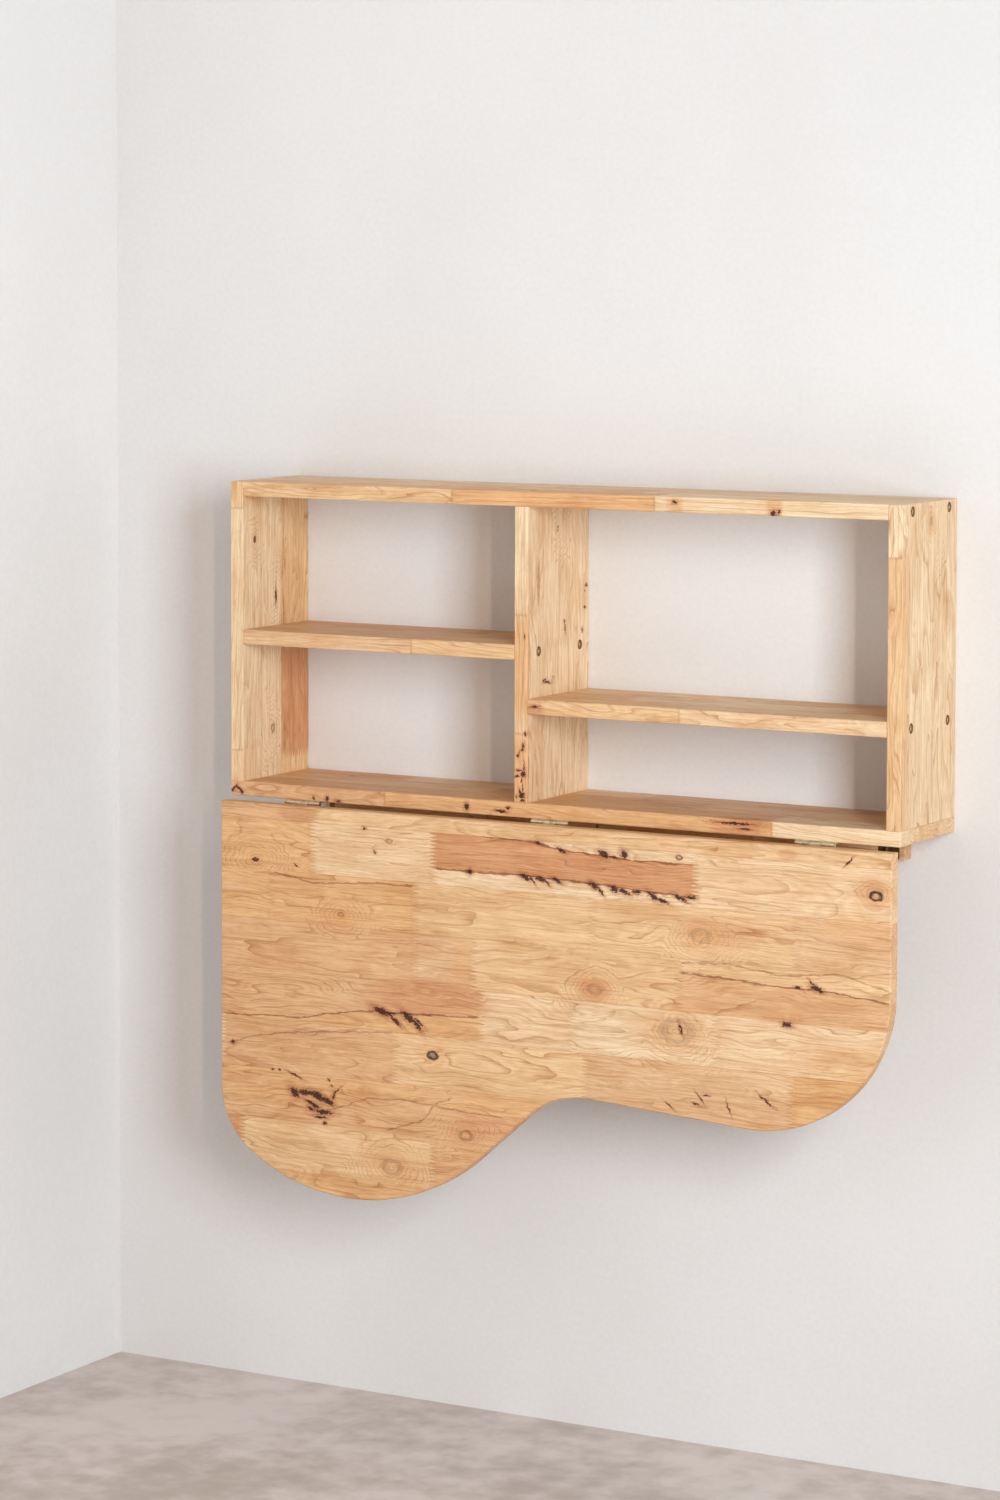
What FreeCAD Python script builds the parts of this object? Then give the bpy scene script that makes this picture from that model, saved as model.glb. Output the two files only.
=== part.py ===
import FreeCAD, Part
import math
import os

# Fold down wall desk in finger-jointed rubberwood, built with FreeCAD 1.1 (millimetres).
#
# A shallow open shelf unit hangs on a wall batten. A desk leaf with a wavy edge hangs from its
# bottom board on three butt hinges. Two wooden arms are hinged to the batten behind the leaf and
# swing out under it once it is lifted.
#
# Frame: +X to the right along the wall, +Y into the wall, +Z up. The wall is the plane Y = 0, and
# the origin is the middle of the batten's back face, on the line of its two wall screw holes.

Vector = FreeCAD.Vector
X_AXIS, Y_AXIS, Z_AXIS = Vector(1, 0, 0), Vector(0, 1, 0), Vector(0, 0, 1)

# ---- driving dimensions ----------------------------------------------------------------------

# shelf unit
UNIT_WIDTH = 900.0
UNIT_DEPTH = 150.0
UNIT_HEIGHT = 386.0            # underside of the bottom board to the top
BOARD = 18.0                   # thickness of every board
EDGE = 0.8                     # flat broken along the boards' edges
LEFT_BAY_WIDTH = 382.0         # clear width between the left panel and the divider
LEFT_SHELF_CLEAR = 168.5       # clear height under the left shelf
RIGHT_SHELF_CLEAR = 105.0      # clear height under the right shelf

# wall batten under the bottom board
BATTEN_INSET = 54.0            # from each end of the unit
BATTEN_HEIGHT = 35.0
BATTEN_DEPTH = 18.0
WALL_HOLE_SPACING = 600.0
WALL_HOLE_RADIUS = 3.25        # for a 6 mm wall screw
WALL_HOLE_RIM = 6.5            # countersink radius on the batten's front face

# desk leaf, sizes taken from its hinge edge and its two ends
LEAF_THICKNESS = 18.0
LEFT_CORNER_RADIUS = 95.0
LEFT_LOBE_RADIUS = 265.0
LEFT_LOBE_CENTRE = 188.0       # from the left end
LEFT_LOBE_DEPTH = 472.5
NOTCH_RADIUS = 115.0
NOTCH_CENTRE = 508.0           # from the left end
NOTCH_DEPTH = 317.0
RIGHT_LOBE_RADIUS = 170.0
RIGHT_LOBE_DEPTH = 331.0
LEAF_EDGE = 1.5                # flat broken along its edges

# leaf hinges: three brass butt hinges, screwed flat on the undersides
HINGE_LENGTH = 50.0
HINGE_INSET = 80.0             # outer hinge from the end of the unit
HINGE_FLAP = 22.0              # from the pin to the flap's free edge
HINGE_PLATE = 1.5
HINGE_BARREL = 2.6             # outer radius of a knuckle
HINGE_PIN = 1.5
LEAF_GAP = 3.0                 # between the bottom board and the raised leaf

# swing arms
ARM_DEPTH = 18.0
ARM_DROP = 8.0                 # top of the arm under the bottom board, clear of the hinge barrels
ARM_MIDDLE_GAP = 3.0           # between the tips of the stored arms
ARM_BACK_GAP = 1.0             # between a stored arm and the batten

# arm hinges: two small brass butt hinges with upright pins
ARM_HINGE_INSET = 23.0         # pin from the end of the batten
ARM_HINGE_LENGTH = 25.0
ARM_HINGE_FLAP = 16.0
ARM_HINGE_PLATE = 1.2
ARM_HINGE_BARREL = 2.3
ARM_HINGE_PIN = 1.2

# rubber feet on the arms, which carry the raised leaf
FOOT_RADIUS = 8.0
FOOT_FROM_TIP = 26.0
FOOT_CLEARANCE = 0.3           # under the bottom board and the raised leaf

# angle brackets that hold the top board to the wall
BRACKET_INSET = 17.0           # middle of the bracket from the upright on its right
BRACKET_WIDTH = 16.0
BRACKET_LEG = 20.0
BRACKET_PLATE = 1.5
BRACKET_HOLE = 12.0            # hole from the corner, on each leg
BRACKET_HOLE_RADIUS = 2.5

# recesses for the heads of the connecting screws
SCREW_RECESS_RADIUS = 6.0
SCREW_RECESS_DEPTH = 4.0
SCREW_FRONT = 27.0             # screw line behind the front edges
SCREW_BACK = 22.0              # screw line in front of the wall
UNDER_SCREW_BACK = 34.0        # the same under the bottom board, clear of the batten

# screws up through the batten
BATTEN_BORE_RADIUS = 5.0       # counterbore for the head
BATTEN_BORE_DEPTH = 9.0
BATTEN_HOLE_RADIUS = 2.5
BATTEN_SCREW_INSET = 46.0      # from the end of the batten

# fits
PIN_RUNNING = 0.06             # radial, pin in the knuckles that turn on it
PIN_HELD = 0.02                # radial, pin in the knuckles that hold it
KNUCKLE_GAP = 0.2              # between neighbouring knuckles
KNUCKLE_CLEARANCE = 0.4        # between a knuckle and the wood it passes

# ---- places worked out from the sizes --------------------------------------------------------

LEFT = -UNIT_WIDTH / 2
RIGHT = UNIT_WIDTH / 2
FRONT = -UNIT_DEPTH
UNDER = BATTEN_HEIGHT / 2                    # underside of the bottom board
FLOOR = UNDER + BOARD                        # top face of the bottom board
TOP = UNDER + UNIT_HEIGHT
CEILING = TOP - BOARD                        # underside of the top board
DIVIDER_LEFT = LEFT + BOARD + LEFT_BAY_WIDTH
DIVIDER_RIGHT = DIVIDER_LEFT + BOARD
LEFT_SHELF_LOW = FLOOR + LEFT_SHELF_CLEAR
RIGHT_SHELF_LOW = FLOOR + RIGHT_SHELF_CLEAR
SCREW_LINES = (FRONT + SCREW_FRONT, -SCREW_BACK)

HINGE_OFFSET = HINGE_BARREL + KNUCKLE_CLEARANCE          # pin from the face the flap lies on
ARM_HINGE_OFFSET = ARM_HINGE_BARREL + KNUCKLE_CLEARANCE

HINGE_Y = FRONT - LEAF_GAP / 2
HINGE_Z = UNDER - HINGE_OFFSET
HINGE_X = (LEFT + HINGE_INSET + HINGE_LENGTH / 2, 0.0, RIGHT - HINGE_INSET - HINGE_LENGTH / 2)
HINGE_NAMES = ("left", "middle", "right")

LEAF_TOP = HINGE_Z - LEAF_GAP / 2            # hinge edge of the hanging leaf
LEAF_BACK = HINGE_Y - HINGE_OFFSET           # its face towards the wall

BATTEN_END = RIGHT - BATTEN_INSET
BATTEN_LOW = UNDER - BATTEN_HEIGHT
ARM_PIN_X = BATTEN_END - ARM_HINGE_INSET
ARM_PIN_Y = -BATTEN_DEPTH - ARM_HINGE_OFFSET
ARM_TOP = UNDER - ARM_DROP
ARM_MIDDLE_Z = (ARM_TOP + BATTEN_LOW) / 2
ARM_BACK = -BATTEN_DEPTH - ARM_BACK_GAP
ARM_END_X = ARM_PIN_X - ARM_HINGE_OFFSET


# ---- common forms ----------------------------------------------------------------------------

def block(x0, x1, y0, y1, z0, z1):
    """Rectangular block between two corners."""
    return Part.makeBox(x1 - x0, y1 - y0, z1 - z0, Vector(x0, y0, z0))


def chosen_edges(shape, chosen):
    """Edges that the test function picks by their middle point and direction."""
    return [edge for edge in shape.Edges
            if chosen(edge.CenterOfMass, edge.tangentAt(edge.FirstParameter))]


def broken(shape, chosen):
    """Takes the sharpness off a board's chosen edges with a small flat."""
    return shape.makeChamfer(EDGE, chosen_edges(shape, chosen))


def runs_along(axis):
    """Test for edges parallel to an axis."""
    return lambda middle, direction: abs(direction.dot(axis)) > 0.999


def placed(shape, origin, along, across):
    """Copy with its own X and Y axes turned to two directions and its zero at the origin given."""
    turn = FreeCAD.Rotation(along, across, along.cross(across), "XYZ")
    copy = shape.copy()
    copy.Placement = FreeCAD.Placement(origin, turn) * copy.Placement
    return copy


def aimed(shape, point, direction):
    """Copy of a shape drawn along +Z from zero, starting at a point and aimed in a direction."""
    copy = shape.copy()
    copy.Placement = FreeCAD.Placement(point, FreeCAD.Rotation(Z_AXIS, direction)) * copy.Placement
    return copy


def turned(profile):
    """Solid turned about Z from (radius, height) points that start and end on the axis."""
    points = [Vector(radius, 0, height) for radius, height in profile]
    wire = Part.makePolygon(points + points[:1])
    return Part.Face(wire).revolve(Vector(), Z_AXIS, 360)


def without(shape, tools):
    """Cuts a list of tools from a shape, in one pass."""
    return shape.cut(Part.makeCompound(tools))


def mirrored(shape):
    """The same piece on the other side of the unit's middle."""
    return shape.mirror(Vector(), X_AXIS)


# ---- screw holes ------------------------------------------------------------------------------

def recesses(places):
    """Round recesses for screw heads, from points on a board's face and driving directions."""
    bit = Part.makeCylinder(SCREW_RECESS_RADIUS, SCREW_RECESS_DEPTH + 1, Vector(0, 0, -1))
    return [aimed(bit, face, into) for face, into in places]


def panel_recesses(face_x, into, heights):
    """Two screws, front and back, through an upright panel at each height."""
    return recesses([(Vector(face_x, y, z), into) for z in heights for y in SCREW_LINES])


LEFT_PANEL_SCREWS = panel_recesses(LEFT, X_AXIS, (TOP - BOARD / 2, LEFT_SHELF_LOW + BOARD / 2))
RIGHT_PANEL_SCREWS = panel_recesses(RIGHT, -X_AXIS, (TOP - BOARD / 2, RIGHT_SHELF_LOW + BOARD / 2))
DIVIDER_RIGHT_SCREWS = panel_recesses(DIVIDER_RIGHT, -X_AXIS, (LEFT_SHELF_LOW + BOARD / 2,))
DIVIDER_LEFT_SCREWS = panel_recesses(DIVIDER_LEFT, X_AXIS, (RIGHT_SHELF_LOW + BOARD / 2,))
TOP_BOARD_SCREWS = recesses(
    [(Vector(DIVIDER_LEFT + BOARD / 2, y, TOP), -Z_AXIS) for y in SCREW_LINES])
BOTTOM_BOARD_SCREWS = recesses([
    (Vector(x, y, UNDER), Z_AXIS)
    for x in (LEFT + BOARD / 2, DIVIDER_LEFT + BOARD / 2, RIGHT - BOARD / 2)
    for y in (FRONT + SCREW_FRONT, -UNDER_SCREW_BACK)
])


# ---- butt hinges -----------------------------------------------------------------------------

class ButtHinge:
    """Sizes of a three-knuckle butt hinge and its pieces, drawn about a pin along X.

    The mounting face is the plane Z = 0 and the pin lies under it. The plate hangs just under that
    face and runs towards +Y, and its knuckles wrap the pin.
    """

    def __init__(self, length, flap, plate, barrel, offset, pin):
        self.length, self.flap, self.plate = length, flap, plate
        self.barrel, self.offset, self.pin_radius = barrel, offset, pin

    def half(self, spans, bore):
        """One flap with knuckles over the spans given along the pin, bored with a clearance."""
        clear = self.barrel + 2 * KNUCKLE_GAP
        shape = block(-self.length / 2, self.length / 2, clear, self.flap, -self.plate, 0)
        for low, high in spans:
            tab = block(low, high, 0, clear + self.plate, -self.plate, 0)
            knuckle = Part.makeCylinder(
                self.barrel, high - low, Vector(low, 0, -self.offset), X_AXIS)
            shape = shape.fuse([tab, knuckle])
        hole = Part.makeCylinder(
            self.pin_radius + bore, self.length + 2,
            Vector(-self.length / 2 - 1, 0, -self.offset), X_AXIS)
        return shape.removeSplitter().cut(hole)

    def holding_half(self):
        """The flap with the two end knuckles, which hold the pin."""
        end, inner = self.length / 2, self.length / 6 + KNUCKLE_GAP / 2
        return self.half([(-end, -inner), (inner, end)], PIN_HELD)

    def turning_half(self):
        """The flap with the middle knuckle, which turns on the pin."""
        reach = self.length / 6 - KNUCKLE_GAP / 2
        return self.half([(-reach, reach)], PIN_RUNNING)

    def pin(self):
        """The pin, as long as the barrel."""
        return Part.makeCylinder(
            self.pin_radius, self.length, Vector(-self.length / 2, 0, -self.offset), X_AXIS)


LEAF_HINGE = ButtHinge(
    HINGE_LENGTH, HINGE_FLAP, HINGE_PLATE, HINGE_BARREL, HINGE_OFFSET, HINGE_PIN)
ARM_HINGE = ButtHinge(
    ARM_HINGE_LENGTH, ARM_HINGE_FLAP, ARM_HINGE_PLATE, ARM_HINGE_BARREL, ARM_HINGE_OFFSET,
    ARM_HINGE_PIN)


def on_board(shape, x):
    """A leaf hinge piece on the underside of the bottom board."""
    return placed(shape, Vector(x, HINGE_Y, UNDER), X_AXIS, Y_AXIS)


def on_leaf(shape, x):
    """A leaf hinge piece on the back of the hanging leaf, its flap pointing down."""
    return placed(shape, Vector(x, LEAF_BACK, HINGE_Z), -X_AXIS, -Z_AXIS)


def on_batten(shape):
    """An arm hinge piece on the batten's front face, right side, its flap pointing outwards."""
    return placed(shape, Vector(ARM_PIN_X, -BATTEN_DEPTH, ARM_MIDDLE_Z), Z_AXIS, X_AXIS)


def on_arm(shape):
    """An arm hinge piece on the end of the stored right arm, its flap pointing forwards."""
    return placed(shape, Vector(ARM_END_X, ARM_PIN_Y, ARM_MIDDLE_Z), -Z_AXIS, -Y_AXIS)


# ---- boards of the unit ----------------------------------------------------------------------

def bottom_board():
    """Bottom board, as wide as the unit: the panels stand on it and the leaf hangs from it."""
    board = broken(block(LEFT, RIGHT, FRONT, 0, UNDER, FLOOR), lambda middle, direction: True)
    return without(board, BOTTOM_BOARD_SCREWS + [batten_screw_bore(x) for x in BATTEN_SCREW_X])


def side_panel(x0, x1, screws):
    """Side panel, standing on the bottom board and closing the unit's end."""
    def free_edge(middle, direction):
        return middle.z > TOP - 1 or abs(direction.z) > 0.999
    return without(broken(block(x0, x1, FRONT, 0, FLOOR, TOP), free_edge), screws)


def top_board():
    """Top board, let in between the side panels."""
    board = broken(block(LEFT + BOARD, RIGHT - BOARD, FRONT, 0, CEILING, TOP), runs_along(X_AXIS))
    return without(board, TOP_BOARD_SCREWS)


def divider_panel():
    """Divider between the bottom and the top board."""
    panel = broken(block(DIVIDER_LEFT, DIVIDER_RIGHT, FRONT, 0, FLOOR, CEILING), runs_along(Z_AXIS))
    return without(panel, DIVIDER_LEFT_SCREWS + DIVIDER_RIGHT_SCREWS)


def shelf(x0, x1, low):
    """Shelf across one bay, held by screws driven into its ends."""
    return broken(block(x0, x1, FRONT, 0, low, low + BOARD), runs_along(X_AXIS))


BATTEN_SCREW_X = (-BATTEN_END + BATTEN_SCREW_INSET, 0.0, BATTEN_END - BATTEN_SCREW_INSET)


def batten_screw_bore(x):
    """Counterbored hole up through the batten and into the bottom board."""
    start = Vector(x, -BATTEN_DEPTH / 2, BATTEN_LOW)
    head = Part.makeCylinder(BATTEN_BORE_RADIUS, BATTEN_BORE_DEPTH, start)
    shank = Part.makeCylinder(BATTEN_HOLE_RADIUS, BATTEN_HEIGHT + BOARD / 2, start)
    return head.fuse(shank)


def wall_batten():
    """Batten screwed to the wall, under the back edge of the bottom board."""
    batten = broken(block(-BATTEN_END, BATTEN_END, -BATTEN_DEPTH, 0, BATTEN_LOW, UNDER),
                    lambda middle, direction: middle.z < UNDER - 1)
    sink = WALL_HOLE_RIM - WALL_HOLE_RADIUS
    wall_hole = turned([
        (0, 0), (WALL_HOLE_RIM, 0), (WALL_HOLE_RADIUS, sink),
        (WALL_HOLE_RADIUS, BATTEN_DEPTH + 1), (0, BATTEN_DEPTH + 1),
    ])
    wall_holes = [
        aimed(wall_hole, Vector(x, -BATTEN_DEPTH, 0), Y_AXIS)
        for x in (-WALL_HOLE_SPACING / 2, WALL_HOLE_SPACING / 2)
    ]
    return without(batten, wall_holes + [batten_screw_bore(x) for x in BATTEN_SCREW_X])


# ---- angle brackets --------------------------------------------------------------------------

BRACKET_X = (DIVIDER_LEFT - BRACKET_INSET, RIGHT - BOARD - BRACKET_INSET)


def wall_bracket(x):
    """Bent steel angle under the top board, with one leg against the wall."""
    x0, x1 = x - BRACKET_WIDTH / 2, x + BRACKET_WIDTH / 2
    under_board = block(x0, x1, -BRACKET_LEG, 0, CEILING - BRACKET_PLATE, CEILING)
    on_wall = block(x0, x1, -BRACKET_PLATE, 0, CEILING - BRACKET_LEG, CEILING)
    angle = under_board.fuse(on_wall).removeSplitter()
    wall_hole = Part.makeCylinder(
        BRACKET_HOLE_RADIUS, BRACKET_PLATE + 2,
        Vector(x, -BRACKET_PLATE - 1, CEILING - BRACKET_HOLE), Y_AXIS)
    board_hole = Part.makeCylinder(
        BRACKET_HOLE_RADIUS, BRACKET_PLATE + 2,
        Vector(x, -BRACKET_HOLE, CEILING - BRACKET_PLATE - 1), Z_AXIS)
    return without(angle, [wall_hole, board_hole])


# ---- desk leaf -------------------------------------------------------------------------------

def tangent_points(centre_a, radius_a, centre_b, radius_b):
    """Ends of the line that touches two circles in turn.

    A positive radius is a circle run round counterclockwise, a negative one clockwise, so circles
    of unlike sign get the tangent that crosses between them.
    """
    span = centre_b - centre_a
    lean = math.asin((radius_a - radius_b) / span.Length)
    heading = math.atan2(span.y, span.x) + lean
    right_hand = Vector(math.sin(heading), -math.cos(heading), 0)
    return centre_a + right_hand * radius_a, centre_b + right_hand * radius_b


def arc_edge(start, centre, radius, end):
    """Arc from start to end about a centre, counterclockwise for a positive radius."""
    first = math.atan2(start.y - centre.y, start.x - centre.x)
    last = math.atan2(end.y - centre.y, end.x - centre.x)
    if radius > 0 and last < first:
        last += 2 * math.pi
    if radius < 0 and last > first:
        last -= 2 * math.pi
    half_way = (first + last) / 2
    middle = centre + Vector(math.cos(half_way), math.sin(half_way), 0) * abs(radius)
    return Part.Arc(start, middle, end).toShape()


def leaf_outline():
    """Closed outline in a plane: X from the left end, Y from the hinge edge, downwards negative.

    The free edge runs counterclockwise from the left end: a corner arc that rolls into the left
    lobe, the lobe, a notch that curves the other way, and the right lobe, which ends upright.
    """
    lobe_y = LEFT_LOBE_RADIUS - LEFT_LOBE_DEPTH
    corner_drop = math.sqrt(
        (LEFT_LOBE_RADIUS - LEFT_CORNER_RADIUS) ** 2 - (LEFT_LOBE_CENTRE - LEFT_CORNER_RADIUS) ** 2)
    corner = Vector(LEFT_CORNER_RADIUS, lobe_y - corner_drop, 0)
    left_lobe = Vector(LEFT_LOBE_CENTRE, lobe_y, 0)
    notch = Vector(NOTCH_CENTRE, -NOTCH_DEPTH - NOTCH_RADIUS, 0)
    right_lobe = Vector(UNIT_WIDTH - RIGHT_LOBE_RADIUS, RIGHT_LOBE_RADIUS - RIGHT_LOBE_DEPTH, 0)

    top_left, top_right = Vector(0, 0, 0), Vector(UNIT_WIDTH, 0, 0)
    corner_start = Vector(0, corner.y, 0)
    outwards = (corner - left_lobe).normalize()
    lobe_start = left_lobe + outwards * LEFT_LOBE_RADIUS
    lobe_end, notch_start = tangent_points(left_lobe, LEFT_LOBE_RADIUS, notch, -NOTCH_RADIUS)
    notch_end, right_start = tangent_points(notch, -NOTCH_RADIUS, right_lobe, RIGHT_LOBE_RADIUS)
    right_end = Vector(UNIT_WIDTH, right_lobe.y, 0)

    def line(start, end):
        return Part.LineSegment(start, end).toShape()

    return Part.Wire([
        line(top_left, corner_start),
        arc_edge(corner_start, corner, LEFT_CORNER_RADIUS, lobe_start),
        arc_edge(lobe_start, left_lobe, LEFT_LOBE_RADIUS, lobe_end),
        line(lobe_end, notch_start),
        arc_edge(notch_start, notch, -NOTCH_RADIUS, notch_end),
        line(notch_end, right_start),
        arc_edge(right_start, right_lobe, RIGHT_LOBE_RADIUS, right_end),
        line(right_end, top_right),
        line(top_right, top_left),
    ])


def desk_leaf():
    """Desk leaf, hanging: the outline extruded towards the front, its edges broken all round."""
    slab = Part.Face(leaf_outline()).extrude(Z_AXIS * LEAF_THICKNESS)
    rims = chosen_edges(slab, lambda middle, direction: (
        middle.z < 0.01 or middle.z > LEAF_THICKNESS - 0.01))
    slab = slab.makeChamfer(LEAF_EDGE, rims)
    return placed(slab, Vector(LEFT, LEAF_BACK, LEAF_TOP), X_AXIS, Z_AXIS)


# ---- swing arms ------------------------------------------------------------------------------

FOOT_X = ARM_MIDDLE_GAP / 2 + FOOT_FROM_TIP
FOOT_Y = ARM_BACK - ARM_DEPTH / 2
FOOT_HEIGHT = ARM_DROP - FOOT_CLEARANCE


def arm_foot():
    """Round rubber foot screwed on the right arm."""
    return Part.makeCylinder(FOOT_RADIUS, FOOT_HEIGHT, Vector(FOOT_X, FOOT_Y, ARM_TOP))


def swing_arm():
    """Right arm, stored flat against the batten with its tip at the middle of the unit."""
    arm = block(ARM_MIDDLE_GAP / 2, ARM_END_X, ARM_BACK - ARM_DEPTH, ARM_BACK, BATTEN_LOW, ARM_TOP)
    return broken(arm, lambda middle, direction: middle.x < ARM_END_X - 1)


# ---- nodes -----------------------------------------------------------------------------------

def all_nodes():
    """Every piece or group of like pieces, by name, in the order of assembly."""
    nodes = {
        "wall_batten": wall_batten(),
        "bottom_board": bottom_board(),
        "left_side_panel": side_panel(LEFT, LEFT + BOARD, LEFT_PANEL_SCREWS),
        "right_side_panel": side_panel(RIGHT - BOARD, RIGHT, RIGHT_PANEL_SCREWS),
        "divider_panel": divider_panel(),
        "top_board": top_board(),
        "left_shelf": shelf(LEFT + BOARD, DIVIDER_LEFT, LEFT_SHELF_LOW),
        "right_shelf": shelf(DIVIDER_RIGHT, RIGHT - BOARD, RIGHT_SHELF_LOW),
        "left_wall_bracket": wall_bracket(BRACKET_X[0]),
        "right_wall_bracket": wall_bracket(BRACKET_X[1]),
        "desk_leaf": desk_leaf(),
    }

    board_half, leaf_half = LEAF_HINGE.holding_half(), LEAF_HINGE.turning_half()
    for name, x in zip(HINGE_NAMES, HINGE_X):
        nodes[name + "_hinge_board_flap"] = on_board(board_half, x)
        nodes[name + "_hinge_leaf_flap"] = on_leaf(leaf_half, x)
        nodes[name + "_hinge_pin"] = on_board(LEAF_HINGE.pin(), x)

    right_arm = {
        "arm": swing_arm(),
        "arm_foot": arm_foot(),
        "arm_hinge_batten_flap": on_batten(ARM_HINGE.holding_half()),
        "arm_hinge_arm_flap": on_arm(ARM_HINGE.turning_half()),
        "arm_hinge_pin": on_batten(ARM_HINGE.pin()),
    }
    for name, shape in right_arm.items():
        nodes["right_" + name] = shape
        nodes["left_" + name] = mirrored(shape)
    return nodes


os.makedirs("parts", exist_ok=True)
for node, shape in all_nodes().items():
    if len(shape.Solids) != 1 or not shape.isValid():
        raise ValueError(node + " isn't one valid solid")
    solid = shape.Solids[0]
    solid.exportStep("parts/" + node + ".step")
    box = solid.optimalBoundingBox()
    print("%-28s %7.1f %7.1f %7.1f  to %7.1f %7.1f %7.1f" % (
        node, box.XMin, box.YMin, box.ZMin, box.XMax, box.YMax, box.ZMax))
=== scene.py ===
import math

import bpy
import numpy as np
from mathutils import Matrix, Vector


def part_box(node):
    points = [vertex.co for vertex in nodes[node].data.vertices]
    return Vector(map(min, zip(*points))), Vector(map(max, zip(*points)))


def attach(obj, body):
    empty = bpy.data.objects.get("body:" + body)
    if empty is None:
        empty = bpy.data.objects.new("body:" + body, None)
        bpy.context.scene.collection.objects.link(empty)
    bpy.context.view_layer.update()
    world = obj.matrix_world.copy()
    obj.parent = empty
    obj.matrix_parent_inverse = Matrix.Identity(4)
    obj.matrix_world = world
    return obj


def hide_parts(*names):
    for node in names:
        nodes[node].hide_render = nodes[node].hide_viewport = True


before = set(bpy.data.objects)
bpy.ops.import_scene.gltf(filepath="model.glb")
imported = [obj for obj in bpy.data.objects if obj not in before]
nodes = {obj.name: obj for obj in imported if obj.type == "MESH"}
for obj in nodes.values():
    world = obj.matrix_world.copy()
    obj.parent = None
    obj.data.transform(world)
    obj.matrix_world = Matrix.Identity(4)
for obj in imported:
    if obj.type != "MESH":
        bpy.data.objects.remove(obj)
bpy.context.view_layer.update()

# ---- wall batten -----------------------------------------------------------------------------
# A planed strip of finger-jointed rubberwood, screwed to the wall through two countersunk holes.
# It is glued up from short staves like every board of the desk, so the wood itself is written
# here once: its tones, its lay-up of staves and its figure. Sizes are in millimetres.

MM = 1000.0                 # millimetres to the metre of the frame
UNIT_HALF, UNIT_DEPTH, UNIT_TOP = 450.0, 150.0, 403.5       # half width, depth, top edge
WOOD_TONES = {
    "pale": (0.975, 0.885, 0.750),
    "cream": (0.965, 0.850, 0.705),
    "honey": (0.945, 0.810, 0.640),
    "golden": (0.920, 0.750, 0.555),
    "pinkish": (0.925, 0.780, 0.625),
    "amber": (0.930, 0.750, 0.560),
    "reddish": (0.870, 0.660, 0.490),
    "brown": (0.910, 0.745, 0.575),
    "rust": (0.820, 0.600, 0.430),
}
BARK = (0.215, 0.110, 0.095)
ROW_STEP = 1000.0           # longer than any board: lines the rows up one after another
SINGLE_ROW = 60.0           # width of the only row of a narrow strip
MOST_STAVES = 32            # stops that the row of stave tones has room for
FINGER = 12.0               # length of a joint's fingers, along the grain
FINGER_PITCH = 4.4
RING_PITCH = 6.2            # mean width of a growth ring
HALF_FINE = 1.4             # half the pitch of the fine lines inside a ring
SEAM_LENGTH, SEAM_WIDTH = 900.0, 500.0      # room for the points of a natural edge, in u and v
SEAT_RADIUS = 6.3           # of the drilled seats of the screws
SEAT_TOP = 8.8              # where a seat's wall starts, from the middle of the board
THROUGH = 1e6               # half depth of a mark that goes right through the board
FAR_OFF = 99.0              # start value of a smallest distance


def colour(red, green, blue):
    """A display colour as the linear colour that a shader takes: the usual sRGB curve."""
    return tuple(c / 12.92 if c <= 0.04045 else ((c + 0.055) / 1.055) ** 2.4
                 for c in (red, green, blue)) + (1.0,)


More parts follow.
